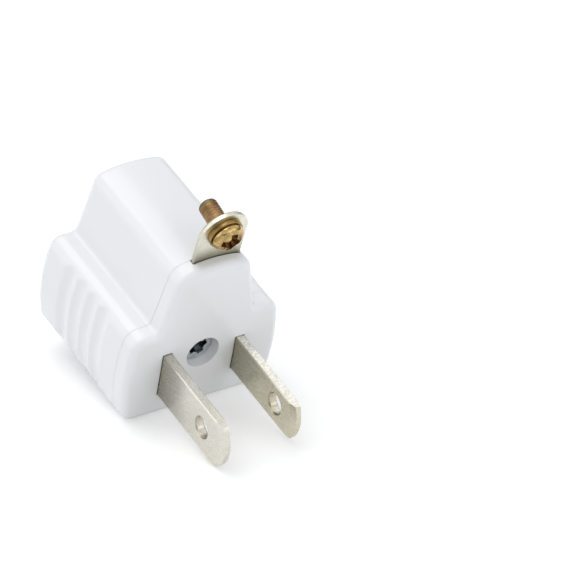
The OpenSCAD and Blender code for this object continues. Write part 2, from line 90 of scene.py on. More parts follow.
# %% Camera
PHOTO_PX = 576
FOCAL_PX = 4056.46
SENSOR_MM = 36.0
camera_data = bpy.data.cameras.new("portrait_camera")
camera_data.sensor_width = SENSOR_MM
camera_data.lens = SENSOR_MM * FOCAL_PX / PHOTO_PX
CAMERA_PLACE = (0.273328, 0.434266, 0.332794)
CAMERA_TURN = (58.49997, -1.88915, 147.26643)
camera = bpy.data.objects.new("portrait_camera", camera_data)
camera.location = CAMERA_PLACE
camera.rotation_euler = [math.radians(angle) for angle in CAMERA_TURN]
bpy.context.scene.collection.objects.link(camera)
bpy.context.scene.camera = camera
print("lens, mm:", round(camera_data.lens, 1))

# %% [markdown]
# ## Helpers for procedural materials
# A real surface is never one number: its colour, its roughness and its fine relief all
# wander a little. Each finish below is a Principled shader whose sockets are fed by
# noise in object coordinates, so the pattern sticks to the piece from every side.

# %% Material helpers
def new_finish(name):
    material = bpy.data.materials.new(name)
    material.use_nodes = True
    tree = material.node_tree
    tree.nodes.clear()
    output = tree.nodes.new("ShaderNodeOutputMaterial")
    shader = tree.nodes.new("ShaderNodeBsdfPrincipled")
    tree.links.new(shader.outputs["BSDF"], output.inputs["Surface"])
    return material, tree, shader


def surface_coordinates(tree, scale=(1, 1, 1), tilt=0.0):
    place = tree.nodes.new("ShaderNodeTexCoord")
    mapping = tree.nodes.new("ShaderNodeMapping")
    mapping.inputs["Scale"].default_value = scale
    mapping.inputs["Rotation"].default_value = (tilt, 0, 0)
    tree.links.new(place.outputs["Object"], mapping.inputs["Vector"])
    return mapping.outputs["Vector"]


def noise(tree, vector, scale, detail=3.0, roughness=0.5):
    texture = tree.nodes.new("ShaderNodeTexNoise")
    texture.inputs["Scale"].default_value = scale
    texture.inputs["Detail"].default_value = detail
    texture.inputs["Roughness"].default_value = roughness
    tree.links.new(vector, texture.inputs["Vector"])
    return texture.outputs["Fac"]


def spread(tree, value, low, high, start=0.3, end=0.7):
    ranged = tree.nodes.new("ShaderNodeMapRange")
    ranged.inputs["From Min"].default_value = start
    ranged.inputs["From Max"].default_value = end
    ranged.inputs["To Min"].default_value = low
    ranged.inputs["To Max"].default_value = high
    tree.links.new(value, ranged.inputs["Value"])
    return ranged.outputs["Result"]


def blend_colours(tree, value, stops):
    ramp = tree.nodes.new("ShaderNodeValToRGB")
    points = ramp.color_ramp.elements
    while len(points) < len(stops):
        points.new(0.5)
    for point, (place, colour) in zip(points, stops):
        point.position = place
        point.color = (*colour, 1)
    tree.links.new(value, ramp.inputs["Fac"])
    return ramp.outputs["Color"]


def relief(tree, value, depth, strength=1.0, below=None):
    bump = tree.nodes.new("ShaderNodeBump")
    bump.inputs["Distance"].default_value = depth
    bump.inputs["Strength"].default_value = strength
    tree.links.new(value, bump.inputs["Height"])
    if below is not None:
        tree.links.new(below, bump.inputs["Normal"])
    return bump.outputs["Normal"]


print("material helpers ready")

# %% [markdown]
# ## Moulded plastic
# The body is glossy white plastic from a polished mould: faintly cool, with a very
# shallow orange-peel ripple and soft, slightly see-through edges. A little subsurface
# scattering gives those soft edges; a flat white would look like paper.

# %% White moulded plastic
def moulded_plastic(name, dark, light):
    material, tree, shader = new_finish(name)
    vector = surface_coordinates(tree)
    cloud = noise(tree, vector, 90, detail=1)
    colour = blend_colours(tree, cloud, [(0.3, dark), (0.7, light)])
    tree.links.new(colour, shader.inputs["Base Color"])
    peel = noise(tree, vector, 420, detail=1)
    gloss = spread(tree, peel, 0.20, 0.23)
    tree.links.new(gloss, shader.inputs["Roughness"])
    shader.inputs["IOR"].default_value = 1.49
    shader.inputs["Subsurface Weight"].default_value = 0.18
    shader.inputs["Subsurface Radius"].default_value = (1.0, 0.95, 0.9)
    shader.inputs["Subsurface Scale"].default_value = 0.0009
    ripple = relief(tree, peel, 0.000004, 0.35)
    tree.links.new(ripple, shader.inputs["Normal"])
    return material


shell_plastic = moulded_plastic("shell_plastic", (0.852, 0.854, 0.872), (0.858, 0.860, 0.878))
cover_plastic = moulded_plastic("cover_plastic", (0.850, 0.856, 0.868), (0.856, 0.862, 0.874))
print("plastics:", shell_plastic.name, cover_plastic.name)

# %% [markdown]
# ## Painted light and shade on plated metal
# Most metal pieces here are plated, and part of their light and shade is painted into
# their colour: a painted shade darkens a piece towards one end, faces that look one way
# get a painted highlight or shade in speckles, and a ring of painted shade lies round
# each blade hole. One could paint these by hand. Here each is a colour laid over the one
# below, by an amount that follows a direction or a distance on the object itself, so it
# stays in place on the piece and needs no picture.

# %% Layers of painted light and shade
def lay_painted_light(tree, amount, colour, painted_tone):
    mix = tree.nodes.new("ShaderNodeMix")
    mix.data_type = "RGBA"
    mix.inputs["B"].default_value = (*painted_tone, 1)
    tree.links.new(amount, mix.inputs["Factor"])
    tree.links.new(colour, mix.inputs["A"])
    return mix.outputs["Result"]


def one_axis(tree, vector, axis):
    axes = tree.nodes.new("ShaderNodeSeparateXYZ")
    tree.links.new(vector, axes.inputs["Vector"])
    return axes.outputs[axis]


def arithmetic(tree, operation, first, second=None):
    step = tree.nodes.new("ShaderNodeMath")
    step.operation = operation
    tree.links.new(first, step.inputs[0])
    if second is not None:
        tree.links.new(second, step.inputs[1])
    return step.outputs[0]


# Painted shade: the colour darkens towards the low end of one axis, where the piece stands in shade
# or mirrors shaded surfaces.
def painted_shade_along(tree, colour, axis, start, end, tint):
    place = tree.nodes.new("ShaderNodeTexCoord")
    along = one_axis(tree, place.outputs["Object"], axis)
    return lay_painted_light(tree, spread(tree, along, 1.0, 0.0, start, end), colour, tint)


# Painted highlight or shade: faces that look along one axis are lightened or darkened in speckles,
# by how they face the light.
def painted_edge_tone(tree, colour, share, tint, axis, start, end):
    geometry = tree.nodes.new("ShaderNodeNewGeometry")
    facing = one_axis(tree, geometry.outputs["True Normal"], axis)
    on_edge = spread(tree, arithmetic(tree, "ABSOLUTE", facing), 0.0, 1.0, start, end)
    speckle = noise(tree, surface_coordinates(tree), 2600, detail=2)
    flecks = spread(tree, speckle, share * 0.45, share, 0.35, 0.65)
    return lay_painted_light(tree, arithmetic(tree, "MULTIPLY", on_edge, flecks), colour, tint)


# The three layers: a painted shade along one axis, a painted highlight or shade on faces that look
# one way, and a ring of painted shade round a hole.
print("wear layers: stain, sheared edge")

# %% [markdown]
# ## The ring round a punched hole
# Both blades have a hole 11.9 mm out from the body, and a ring of painted shade lies on
# its bevel. The ring is found by its distance from the hole's middle, measured without
# the x direction, so that one layer serves both blades and both faces.

# %% Ring of painted shade
body_depth = 26.3
blade_z = 8.0
blade_hole_out = 11.9
blade_hole_r = 1.6
ring_start = 0.01
ring_full = 0.07
ring_fades = 0.12
ring_ends = 0.26
hole_middle = to_table @ Vector((0, (body_depth + blade_hole_out) * MM, blade_z * MM))


def hole_ring_shade(tree, colour, ring_shade):
    across = surface_coordinates(tree, (0, 1, 1))
    away = tree.nodes.new("ShaderNodeVectorMath")
    away.operation = "DISTANCE"
    away.inputs[1].default_value = hole_middle
    tree.links.new(across, away.inputs[0])
    distance = away.outputs["Value"]
    radii = [(blade_hole_r + step) * MM for step in (ring_start, ring_full, ring_fades, ring_ends)]
    inside = spread(tree, distance, 0.2, 1.0, radii[0], radii[1])
    outside = spread(tree, distance, 1.0, 0.0, radii[2], radii[3])
    return lay_painted_light(tree, arithmetic(tree, "MULTIPLY", outside, inside), colour, ring_shade)


print("hole middle, mm:", [round(v / MM, 2) for v in hole_middle])

# %% [markdown]
# ## Plated metal
# A plated surface clouds between two near tones, and its polish follows the grain of the
# metal below. The grain is a fine noise, stretched along the strip where the metal was
# rolled, that drives both the roughness and a very shallow relief: the highlights then
# smear across the grain and stay crisp along it. The layers of painted light and shade
# come on top.

# %% Plated metal
EVEN = (1, 1, 1)
ALONG_BLADE = (1, 0.12, 1)


def plated_metal(name, dark, light, rough, stretch, scale, depth, mottle=60, painted_light=()):
    material, tree, shader = new_finish(name)
    shader.inputs["Metallic"].default_value = 1.0
    cloud = noise(tree, surface_coordinates(tree), mottle * 10, detail=4, roughness=0.6)
    colour = blend_colours(tree, cloud, [(0.3, dark), (0.7, light)])
    for layer in painted_light:
        colour = layer(tree, colour)
    tree.links.new(colour, shader.inputs["Base Color"])
    lined = surface_coordinates(tree, stretch, REST_TILT)
    lines = noise(tree, lined, scale, detail=4, roughness=0.6)
    tree.links.new(spread(tree, lines, rough[0], rough[1]), shader.inputs["Roughness"])
    tree.links.new(relief(tree, lines, depth, 0.6), shader.inputs["Normal"])
    return material


print("grain along a blade is", round(ALONG_BLADE[0] / ALONG_BLADE[1], 1), "times longer")

# %% [markdown]
# ## Nickel-plated blades
# The blades are stamped from rolled brass strip and nickel plated. Towards the body they
# darken in painted shade, their top and bottom faces are paler in speckles of painted
# highlight, and each hole has a ring of painted shade. The line blade is a darker, browner
# copy of the same nickel, a painted shade, with the stronger painted edge highlight.

# %% Blade finishes
# A pale painted highlight for the blades' top and bottom faces, and a dark painted shade for the
# ring round each hole.
EDGE_HIGHLIGHT = (0.95, 0.935, 0.895)
HOLE_RING_SHADE = (0.36, 0.31, 0.21)
# Painted shade on the blades near the body: full up to the first distance, gone at the second.
shade_until = 0.0045
bright_from = 0.0125


def blade_painted_layers(shade_tint, edge_share):
    return [
        lambda tree, colour: painted_shade_along(tree, colour, "Y", shade_until, bright_from, shade_tint),
        lambda tree, colour: painted_edge_tone(tree, colour, edge_share, EDGE_HIGHLIGHT, "Z", 0.75, 0.9),
        lambda tree, colour: hole_ring_shade(tree, colour, HOLE_RING_SHADE),
    ]


blade_nickel = plated_metal(
    "blade_nickel", (0.635, 0.615, 0.545), (0.69, 0.67, 0.60), (0.22, 0.34),
    ALONG_BLADE, 4500, 0.000006, 260, blade_painted_layers((0.37, 0.355, 0.285), 0.25),
)
# The line blade's nickel is a darker, browner copy of the neutral blade's, a painted shade and
# reflection, with a stronger painted edge highlight.
line_shaded_nickel = plated_metal(
    "line_blade_shaded_nickel", (0.575, 0.54, 0.415), (0.64, 0.605, 0.48), (0.22, 0.34),
    ALONG_BLADE, 4500, 0.000006, 260, blade_painted_layers((0.35, 0.33, 0.24), 0.9),
)
print("blade finishes:", blade_nickel.name, line_shaded_nickel.name)

# %% [markdown]
# ## Lug plating
# The lug is plated sheet steel, pale with a yellow cast. Its foot, where it leaves the
# ridge, is darkened in painted shade, and its edge gets a darker painted shade than its
# face. The edge is found by its normal: only the faces look along y.

# %% Lug plating
# Painted shade: darker at the lug's foot and on its edge faces.
lug_painted_layers = [
    lambda tree, colour: painted_shade_along(tree, colour, "Z", 0.0265, 0.0300, (0.36, 0.34, 0.24)),
    lambda tree, colour: painted_edge_tone(tree, colour, 1.0, (0.60, 0.59, 0.49), "Y", 0.8, 0.4),
]
lug_plating = plated_metal(
    "lug_plating", (0.70, 0.69, 0.57), (0.82, 0.81, 0.72), (0.28, 0.42),
    EVEN, 1400, 0.000012, 90, lug_painted_layers,
)
print("lug finish:", lug_plating.name, "with", len(lug_painted_layers), "layers of wear")

# %% [markdown]
# ## Brass inside
# The contacts are folded from brass strip that is left as it was rolled, so they keep
# its grain. They show only through the slots, greyed by the shade. The rivets are turned
# and have no grain.

# %% Brass of the contacts and rivets
contact_brass = plated_metal(
    "contact_brass", (0.64, 0.58, 0.50), (0.78, 0.72, 0.64), (0.28, 0.42),
    ALONG_BLADE, 4000, 0.000008,
)
rivet_brass = plated_metal(
    "rivet_brass", (0.52, 0.36, 0.17), (0.66, 0.48, 0.25), (0.25, 0.4),
    EVEN, 2500, 0.000006,
)
print("inner metals:", contact_brass.name, rivet_brass.name)

# %% [markdown]
# ## Yellow plating
# The ground screw and its washer are plated yellow. The bright head's colour clouds between
# deep brown and gold, a painted reflection of the room, so its two tones are far apart and
# its polish is high. The cross recess gets a dark brown of painted shade; the thread is
# coppery and its rounded end dark olive.

# %% Finishes of the ground screw and washer
# The head's colour clouds between a deep brown and gold: a painted reflection on the yellow
# plating.
yellow_plating = plated_metal(
    "yellow_plating", (0.10, 0.06, 0.015), (0.76, 0.54, 0.23), (0.08, 0.18),
    EVEN, 1100, 0.00003, 75,
)
washer_gold = plated_metal(
    "washer_gold", (0.17, 0.10, 0.03), (0.42, 0.28, 0.10), (0.10, 0.20),
    EVEN, 1600, 0.00002,
)
# A dark brown painted shade for the ground screw's cross recess.
recess_shade_brown = plated_metal(
    "recess_shade_brown", (0.10, 0.045, 0.015), (0.22, 0.11, 0.04), (0.30, 0.5),
    EVEN, 2500, 0.00001,
)
thread_copper = plated_metal(
    "thread_copper", (0.17, 0.095, 0.04), (0.36, 0.23, 0.11), (0.22, 0.36),
    EVEN, 2500, 0.000008,
)
thread_end_olive = plated_metal(
    "thread_end_olive", (0.10, 0.09, 0.04), (0.20, 0.18, 0.09), (0.3, 0.5),
    EVEN, 2500, 0.00001,
)
ground_finishes = [yellow_plating, recess_shade_brown, thread_copper, thread_end_olive]
print("ground screw finishes:", len(ground_finishes), "and", washer_gold.name)

# %% [markdown]
# ## Blue zinc
# The cover screw has bright bluish zinc plating. Light hardly reaches into its recess,
# deep in the hole between the blades, so the cross gets a darker zinc of its own.

# %% Finishes of the cover screw
blue_zinc = plated_metal(
    "blue_zinc", (0.50, 0.55, 0.57), (0.86, 0.90, 0.91), (0.12, 0.25),
    EVEN, 1800, 0.00002,
)
zinc_shadow = plated_metal(
    "zinc_shadow", (0.015, 0.02, 0.022), (0.09, 0.10, 0.11), (0.30, 0.5),
    EVEN, 2500, 0.00001,
)
zinc_finishes = [blue_zinc, zinc_shadow, blue_zinc, blue_zinc]
print("zinc finishes:", blue_zinc.name, zinc_shadow.name)

# %% [markdown]
# ## Dressing the CAD nodes
# The CAD solids keep their shape and place and only get a finish. A table of names keeps
# the whole choice in one place. The nodes that a finer piece replaces further down are
# in it too, so nothing is ever left grey.

# %% Finishes on the CAD nodes
NODE_FINISH = {
    "socket_shell": shell_plastic,
    "blade_cover": cover_plastic,
    "cover_screw": blue_zinc,
    "neutral_blade": blade_nickel,
    "line_blade": line_shaded_nickel,
    "neutral_contact": contact_brass,
    "line_contact": contact_brass,
    "ground_contact": contact_brass,
    "neutral_rivet": rivet_brass,
    "line_rivet": rivet_brass,
    "ground_rivet": rivet_brass,
    "ground_lug": lug_plating,
    "ground_screw": yellow_plating,
    "ground_washer": washer_gold,
}
for name, finish in NODE_FINISH.items():
    for slot in nodes[name].material_slots:
        slot.material = finish
print("nodes dressed:", len(NODE_FINISH))

# %% [markdown]
# ## The body's cross section
# The real body comes out of one steel mould: bulging sides, rounded shoulders and a
# crowned ridge that holds the ground hole. Its section is a chain of arcs that meet at
# the same slope, so it is written down as arcs: each point keeps its outward direction,
# which later lets the section shrink evenly at the rounded ends. The first arc has no
# size, because it is only the middle of the flat bottom.

# %% Section of the body
body_width = 26.5
side_bulge_r = 31.7
shoulder_h = 16.2
ridge_h = 27.35
ridge_foot = 8.3
wall_lean = math.radians(12.4)
crown_r = 20.0
bottom_r = 2.1
shoulder_r = 2.4
ridge_r = 2.5
foot_r = 0.8

side_z = shoulder_h / 2
side_cx = body_width / 2 - side_bulge_r
bottom_cx = side_cx + math.sqrt((side_bulge_r - bottom_r) ** 2 - (bottom_r - side_z) ** 2)
shoulder_cz = shoulder_h - shoulder_r
shoulder_cx = side_cx + math.sqrt((side_bulge_r - shoulder_r) ** 2 - (shoulder_cz - side_z) ** 2)
low_angle = math.atan2(bottom_r - side_z, bottom_cx - side_cx)
high_angle = math.atan2(shoulder_cz - side_z, shoulder_cx - side_cx)
wall_reach = ridge_foot * math.cos(wall_lean) + shoulder_h * math.sin(wall_lean)
foot_cz = shoulder_h + foot_r
foot_cx = (wall_reach + foot_r - foot_cz * math.sin(wall_lean)) / math.cos(wall_lean)
crown_cz = ridge_h - crown_r
crown_swing = math.asin(
    (wall_reach - ridge_r - crown_cz * math.sin(wall_lean)) / (crown_r - ridge_r)
) - wall_lean
corner_cx = (crown_r - ridge_r) * math.sin(crown_swing)
corner_cz = crown_cz + (crown_r - ridge_r) * math.cos(crown_swing)


def arc(centre_x, centre_z, radius, start, end, steps):
    angles = np.linspace(start, end, steps + 1)
    x = centre_x + radius * np.cos(angles)
    z = centre_z + radius * np.sin(angles)
    return np.column_stack([x, z, np.cos(angles), np.sin(angles)])


quarter = math.pi / 2
half_section = np.vstack([
    arc(0, 0, 0, -quarter, -quarter, 0),
    arc(bottom_cx, bottom_r, bottom_r, -quarter, low_angle, 14),
    arc(side_cx, side_z, side_bulge_r, low_angle, high_angle, 30)[1:-1],
    arc(shoulder_cx, shoulder_cz, shoulder_r, high_angle, quarter, 16),
    arc(foot_cx, foot_cz, -foot_r, quarter, wall_lean, 12),
    arc(corner_cx, corner_cz, ridge_r, wall_lean, quarter - crown_swing, 14),
    arc(0, crown_cz, crown_r, quarter - crown_swing, quarter, 12)[1:],
])
mirrored = half_section[1:-1][::-1] * np.array([-1, 1, -1, 1])
section = np.vstack([half_section, mirrored])
print("section points:", len(section), "height, mm:", round(float(section[:, 1].max()), 2))

# %% [markdown]
# ## Finger flutes
# Four shallow scoops on each side give the fingers a hold. In the mould they are turned
# grooves; here each ring of the body is pressed inwards where a flute crosses it. The
# edges are averaged over half a millimetre, because polished moulds have no sharp
# ridges, and the scoops fade out by themselves where the corners curve away.

# %% Depth of the flutes along the body
flute_count = 4
flute_pitch = 3.2
flute_depth = 0.45
flute_middle = 12.3
flute_blur = 0.35
flute_blend = 0.16
flute_start = flute_middle - flute_count * flute_pitch / 2
flute_end = flute_start + flute_count * flute_pitch


def scoop(y):
    if y <= flute_start or y >= flute_end:
        return 0.0
    across = ((y - flute_start) % flute_pitch) / flute_pitch * 2 - 1
    return flute_depth * (1 - across ** 2)


def flute_at(y):
    near = np.linspace(-flute_blur, flute_blur, 9)
    return float(np.mean([scoop(y + step) for step in near]))


def press_flutes(x, z, y):
    depth = flute_at(y)
    if depth <= 0:
        return x, z
    side = np.where(x >= 0, 1.0, -1.0)
    off_x = x - side * side_cx
    off_z = z - side_z
    reach = np.hypot(off_x, off_z)
    outward = off_x * side > 0
    limit = side_bulge_r - depth
    overlap = np.clip(flute_blend - np.abs(reach - limit), 0, None) / flute_blend
    blend = overlap ** 2 * flute_blend / 4 * min(1.0, depth / 0.1)
    pressed = np.minimum(reach, limit) - blend
    share = np.where(outward, pressed / reach, 1.0)
    return side * side_cx + off_x * share, side_z + off_z * share


print("flute depths, mm:", [round(flute_at(y), 2) for y in (5.0, 7.5, 9.1, 10.7)])

# %% [markdown]
# ## Meshes from rings, and cutting one solid out of another
# A ring is a closed line of points. Skinning a row of rings gives a solid with clean
# rows of faces, which is how the housing, the cutting tools and later the screws are
# made. Pockets and slots are then cut with a boolean, as the mould's cores do it.

# %% Ring solids and cuts
def ring_mesh(name, rings):
    rings = [np.asarray(ring, dtype=float) for ring in rings]
    size = len(rings[0])
    points = np.vstack(rings)
    faces = [tuple(range(size))[::-1]]
    for row in range(len(rings) - 1):
        for i in range(size):
            j = (i + 1) % size
            low = row * size
            high = low + size
            faces.append((low + i, low + j, high + j, high + i))
    last = (len(rings) - 1) * size
    faces.append(tuple(last + i for i in range(size)))
    mesh = bpy.data.meshes.new(name)
    mesh.from_pydata([tuple(p) for p in points], [], faces)
    work = bmesh.new()
    work.from_mesh(mesh)
    bmesh.ops.recalc_face_normals(work, faces=work.faces)
    work.to_mesh(mesh)
    work.free()
    return mesh


def box_mesh(low, high):
    corners = [(low[0], low[2]), (high[0], low[2]), (high[0], high[2]), (low[0], high[2])]
    rings = [[(x, y, z) for x, z in corners] for y in (low[1], high[1])]
    return ring_mesh("box", rings)


def combine(base, tool, operation):
    holders = []
    for mesh in (base, tool):
        holder = bpy.data.objects.new("holder", mesh)
        bpy.context.scene.collection.objects.link(holder)
        holders.append(holder)
    cut = holders[0].modifiers.new("cut", "BOOLEAN")
    cut.solver = "EXACT"
    cut.operation = operation
    cut.object = holders[1]
    graph = bpy.context.evaluated_depsgraph_get()
    result = bpy.data.meshes.new_from_object(holders[0].evaluated_get(graph))
    for holder in holders:
        bpy.data.objects.remove(holder)
    for mesh in (base, tool):
        bpy.data.meshes.remove(mesh)
    return result


def cut_all(base, tools):
    for tool in tools:
        base = combine(base, tool, "DIFFERENCE")
    return base


def body_rings(stations):
    rings = []
    for inset, y in stations:
        x = section[:, 0] - inset * section[:, 2]
        z = section[:, 1] - inset * section[:, 3]
        x, z = press_flutes(x, z, y)
        rings.append(np.column_stack([x, np.full(len(x), y), z]))
    return rings


print("ring and cutting tools ready")

# %% [markdown]
# ## Tools for the holes
# The edge of a moulded hole is never razor sharp: the core pins are rounded a little
# where they meet the face. Each hole's outline therefore opens out over its last
# fraction of a millimetre, following a quarter circle. A shape is kept as a function
# that gives its outline, grown by a given amount, so the same shape cuts hole and rim.

# %% Cutting tools for holes
def rounded_slot(half_w, half_h, corner):
    def outline(grow):
        points = []
        for turn, (side_x, side_y) in enumerate([(1, 1), (-1, 1), (-1, -1), (1, -1)]):
            for step in range(4):
                angle = math.radians(90 * turn + 30 * step)
                x = side_x * (half_w - corner) + (corner + grow) * math.cos(angle)
                z = side_y * (half_h - corner) + (corner + grow) * math.sin(angle)
                points.append((x, z))
        return points
    return outline


def d_shape(half_w, top):
    def outline(grow):
        points = [(half_w + grow, top + grow), (-half_w - grow, top + grow)]
        for step in range(41):
            angle = math.pi + math.pi * step / 40
            x = (half_w + grow) * math.cos(angle)
            points.append((x, (half_w + grow) * math.sin(angle)))
        return points
    return outline


def circle_outline(radius, grow, count=72):
    angles = [2 * math.pi * i / count for i in range(count)]
    return [((radius + grow) * math.cos(a), (radius + grow) * math.sin(a)) for a in angles]


def round_shape(radius):
    def outline(grow):
        return circle_outline(radius, grow)
    return outline


def hole_tool(outline, middle, face_y, deep_y, soft):
    outward = 1 if face_y > deep_y else -1
    steps = [(soft, face_y + outward * 0.5)]
    for i in range(6):
        angle = quarter * i / 5
        depth = soft * (1 - math.cos(angle))
        steps.append((soft * (1 - math.sin(angle)), face_y - outward * depth))
    steps.append((0, deep_y))
    rings = []
    for grow, y in steps:
        rings.append([(middle[0] + x, y, middle[1] + z) for x, z in outline(grow)])
    return ring_mesh("hole", rings)


def bar_tool(middle, radius, start_y, end_y, count=72):
    outline = circle_outline(radius, 0, count)
    rings = []
    for y in (start_y, end_y):
        rings.append([(middle[0] + x, y, middle[1] + z) for x, z in outline])
    return ring_mesh("bar", rings)


print("a slot outline has", len(rounded_slot(1, 4, 0.15)(0)), "points")

# %% [markdown]
# ## Skin of the socket shell
# The larger moulding rounds off at the socket face and stops at the seam, 3 mm before
# the blade face. Its skin is a row of rings: close together where the ends round off and
# where the flutes run, far apart where nothing changes. A small bevel at the joint draws
# the fine seam line round the body.

# %% Skin of the socket shell
cover_thickness = 3.0
seam_y = body_depth - cover_thickness
seam_bevel = 0.06
end_round = 1.5
ring_step = 0.16
before_flutes = 3.5
after_flutes = 21.5
edge_angles = [quarter * i / 12 for i in range(13)]


def rounded_end(radius):
    return [(radius * (1 - math.sin(a)), radius * (1 - math.cos(a))) for a in edge_angles]


flute_rows = [(0, float(y)) for y in np.arange(flute_start - 0.5, flute_end + 0.5, ring_step)]
stations = rounded_end(end_round) + [(0, before_flutes)] + flute_rows
stations += [(0, after_flutes), (0, seam_y - seam_bevel), (seam_bevel, seam_y)]
shell_mesh = ring_mesh("socket_shell_skin", body_rings(stations))
print("rings along the shell:", len(stations))

# %% [markdown]
# ## Tongue
# Below the socket face stands a half-round tongue, on which the adapter rests. It could
# be drawn as an arc and thickened. It is made as a turned disc with a rounded rim, cut
# off where it enters the body, because the rim then keeps one radius all the way round.

# %% Tongue
tongue_r = 10.1
tongue_drop = 4.95
tongue_t = 2.3
tongue_rim = 0.6
tongue_set_back = 0.45
tongue_root = 1.9
disc_middle_y = tongue_set_back + tongue_t / 2
tongue_rings = []
for i in range(13):
    angle = math.pi * i / 12
    radius = tongue_r - tongue_rim + tongue_rim * math.sin(angle)
    shift = -tongue_rim * math.cos(angle)
    along = disc_middle_y + math.copysign(tongue_t / 2 - tongue_rim, shift) + shift
    circle = circle_outline(radius, 0, 160)
    tongue_rings.append([(x, along, tongue_r - tongue_drop + z) for x, z in circle])
tongue_mesh = ring_mesh("tongue", tongue_rings)
tongue_mesh = combine(tongue_mesh, box_mesh((-12, -1, -6), (12, 6, tongue_root)), "INTERSECT")
shell_mesh = combine(shell_mesh, tongue_mesh, "UNION")
print("tongue, mm across and below the body:", 2 * tongue_r, tongue_drop)

# %% [markdown]
# ## Slots, ground hole and chambers
# A slot is cut through the face for each blade of a plug, the wide one at +X, and the
# ground hole has a flat top and a round bottom. Behind each lies a chamber for its
# contact, open towards the seam. The long cover screw gets its own bore.

# %% Holes of the socket shell
face_wall = 1.9
past = 0.5
blade_x = 6.35
slot_w = 2.43
half_slots = {1: 4.275, -1: 3.525}
chamber_half_w = 1.95
chamber_half_h = 5.05
ground_z = blade_z + 12.1
ground_half_w = 3.0
ground_top = 2.5
ground_chamber_half_w = 3.7
ground_chamber_down = 3.9
ground_chamber_up = 3.7
screw_z = blade_z + 2.1
recess_r = 2.75
screw_seat_y = body_depth - 4.8
boss_r = recess_r + 1.15
boss_end_y = screw_seat_y - 1.1
boss_gap = 0.06
screw_bore_r = 1.28
screw_bore_l = 9.0
slot_corner = 0.12
slot_rim = 0.14
ground_rim = 0.16


def chamber(middle, half_w, down, up):
    low = (middle[0] - half_w, face_wall, middle[1] - down)
    high = (middle[0] + half_w, seam_y + 1, middle[1] + up)
    return box_mesh(low, high)


for side, half_h in half_slots.items():
    middle = (side * blade_x, blade_z)
    outline = rounded_slot(slot_w / 2, half_h, slot_corner)
    shell_mesh = cut_all(shell_mesh, [
        hole_tool(outline, middle, 0, face_wall + past, slot_rim),
        chamber(middle, chamber_half_w, chamber_half_h, chamber_half_h),
    ])
shell_mesh = cut_all(shell_mesh, [
    hole_tool(d_shape(ground_half_w, ground_top), (0, ground_z), 0, face_wall + past, ground_rim),
    chamber((0, ground_z), ground_chamber_half_w, ground_chamber_down, ground_chamber_up),
    bar_tool((0, screw_z), boss_r + boss_gap, boss_end_y - boss_gap, seam_y + 1),
    bar_tool((0, screw_z), screw_bore_r, screw_seat_y - screw_bore_l, boss_end_y + past, 40),
])
print("shell faces:", len(shell_mesh.polygons))

# %% [markdown]
# ## Blade cover
# The thin end plate is a second moulding, held by the long screw in its round recess. It
# carries the same section as the body. A pocket on the seam side holds the foot of the
# lug, and the two blades come out through close slots.

# %% Blade cover
cover_round = 1.1
lug_x = -1.0
lug_width = 8.1
lug_t = 0.9
strip_below = 3.2
close_gap = 0.06
pocket_gap = 0.12
half_blades = {1: 3.97, -1: 3.175}
blade_slot_half_w = 0.82
blade_slot_corner = 0.1
blade_slot_rim = 0.1
recess_rim = 0.16
cover_bore_r = 1.31
rivet_pocket_r = 1.56
rivet_pocket_l = 0.56
ends = [(inset, body_depth - back) for inset, back in reversed(rounded_end(cover_round))]
cover_stations = [(seam_bevel, seam_y), (0, seam_y + seam_bevel)] + ends
cover_mesh = ring_mesh("blade_cover_skin", body_rings(cover_stations))
boss = bar_tool((0, screw_z), boss_r, boss_end_y, seam_y + past)
cover_mesh = combine(cover_mesh, boss, "UNION")
pocket_half = lug_width / 2 + close_gap
pocket_low = (lug_x - pocket_half, seam_y - past, ground_z - strip_below - close_gap)
pocket_high = (lug_x + pocket_half, seam_y + lug_t + pocket_gap, ridge_h + 1)
cover_tools = [
    hole_tool(round_shape(recess_r), (0, screw_z), body_depth, screw_seat_y, recess_rim),
    bar_tool((0, screw_z), cover_bore_r, boss_end_y - past, screw_seat_y + past, 40),
    box_mesh(pocket_low, pocket_high),
    bar_tool((0, ground_z), rivet_pocket_r, seam_y + 0.2, seam_y + lug_t + rivet_pocket_l, 48),
]
cover_mesh = cut_all(cover_mesh, cover_tools)
for side, half_h in half_blades.items():
    middle = (side * blade_x, blade_z)
    outline = rounded_slot(blade_slot_half_w, half_h + close_gap, blade_slot_corner)
    blade_slot = hole_tool(outline, middle, body_depth, seam_y - past, blade_slot_rim)
    cover_mesh = combine(cover_mesh, blade_slot, "DIFFERENCE")
print("cover faces:", len(cover_mesh.polygons))

# %% [markdown]
# ## Putting a solid into the table's frame
# The solids above are in millimetres along the adapter's own axes. They are scaled and
# tipped once, smoothed where faces meet gently, and their normals are weighted by area,
# so that the flat faces stay flat in the highlights.

# %% Place the housing
def place(name, mesh, slot, finishes, smooth_below=35, stands_for=None):
    mesh.name = name
    mesh.transform(Matrix.Scale(MM, 4))
    mesh.transform(to_table)
    for finish in finishes:
        mesh.materials.append(finish)
    piece = bpy.data.objects.new(name, mesh)
    bpy.context.scene.collection.objects.link(piece)
    mesh.shade_smooth()
    mesh.set_sharp_from_angle(angle=math.radians(smooth_below))
    weighted = piece.modifiers.new("weighted_normals", "WEIGHTED_NORMAL")
    weighted.keep_sharp = True
    weighted.weight = 90
    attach(piece, "root")
    if stands_for:
        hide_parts(stands_for)
    return piece


shell = place("shell_moulding", shell_mesh, "shell", [shell_plastic], 35, "socket_shell")
cover = place("cover_moulding", cover_mesh, "cover", [cover_plastic], 35, "blade_cover")
print("mouldings placed:", shell.name, cover.name)

